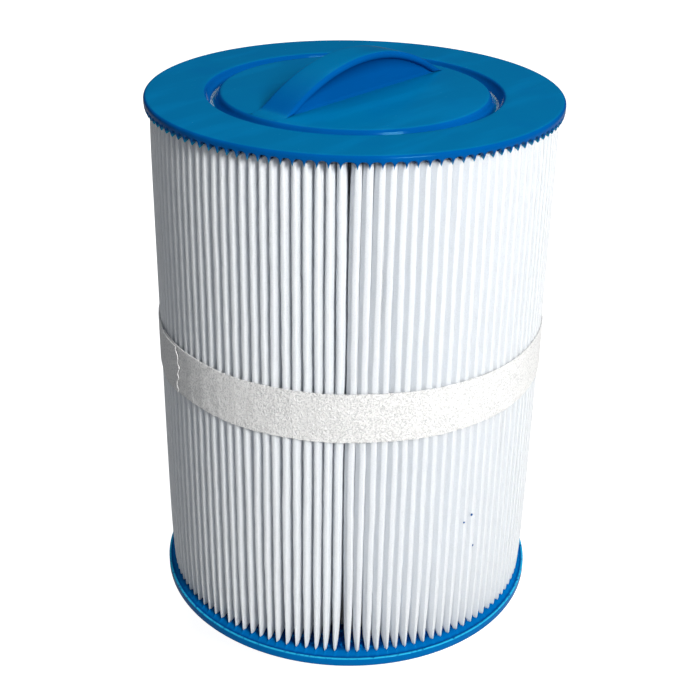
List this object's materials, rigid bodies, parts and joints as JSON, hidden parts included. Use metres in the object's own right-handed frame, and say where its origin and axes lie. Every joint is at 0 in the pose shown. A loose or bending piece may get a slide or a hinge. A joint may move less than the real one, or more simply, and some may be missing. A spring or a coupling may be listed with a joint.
{
  "type": "filter cartridge",
  "caption": "Round pleated spa filter cartridge with a cast blue cap and arched grip on top, a fleece band round the pleats and a threaded outlet below.",
  "frame": {"origin": "on the cartridge's axis in the plane of the seating face, which is the underside of the bottom cap", "axes": "+Z along the axis from the threaded outlet to the grip; the grip's length lies along X"},
  "size_m": [0.152, 0.152, 0.242],
  "materials": {
    "top_resin": "glossy cast polyurethane",
    "grip_resin": "glossy cast polyurethane",
    "filter_fleece": "spunbond polyester sheet",
    "seam_tape": "bonded seam tape",
    "band_fleece": "loose fleece strip",
    "core_plastic": "satin moulded polypropylene",
    "plug_plastic": "satin moulded polypropylene",
    "bottom_resin": "glossy cast polyurethane",
    "outlet_plastic": "satin moulded ABS"
  },
  "bodies": {
    "root": {"top_end_cap": "top_resin", "grip_handle": "grip_resin", "pleated_media": "filter_fleece", "seam_strip": "seam_tape", "retaining_band": "band_fleece", "core_tube": "core_plastic", "core_plug": "plug_plastic", "bottom_end_cap": "bottom_resin", "threaded_outlet": "outlet_plastic"}
  },
  "joints": []
}
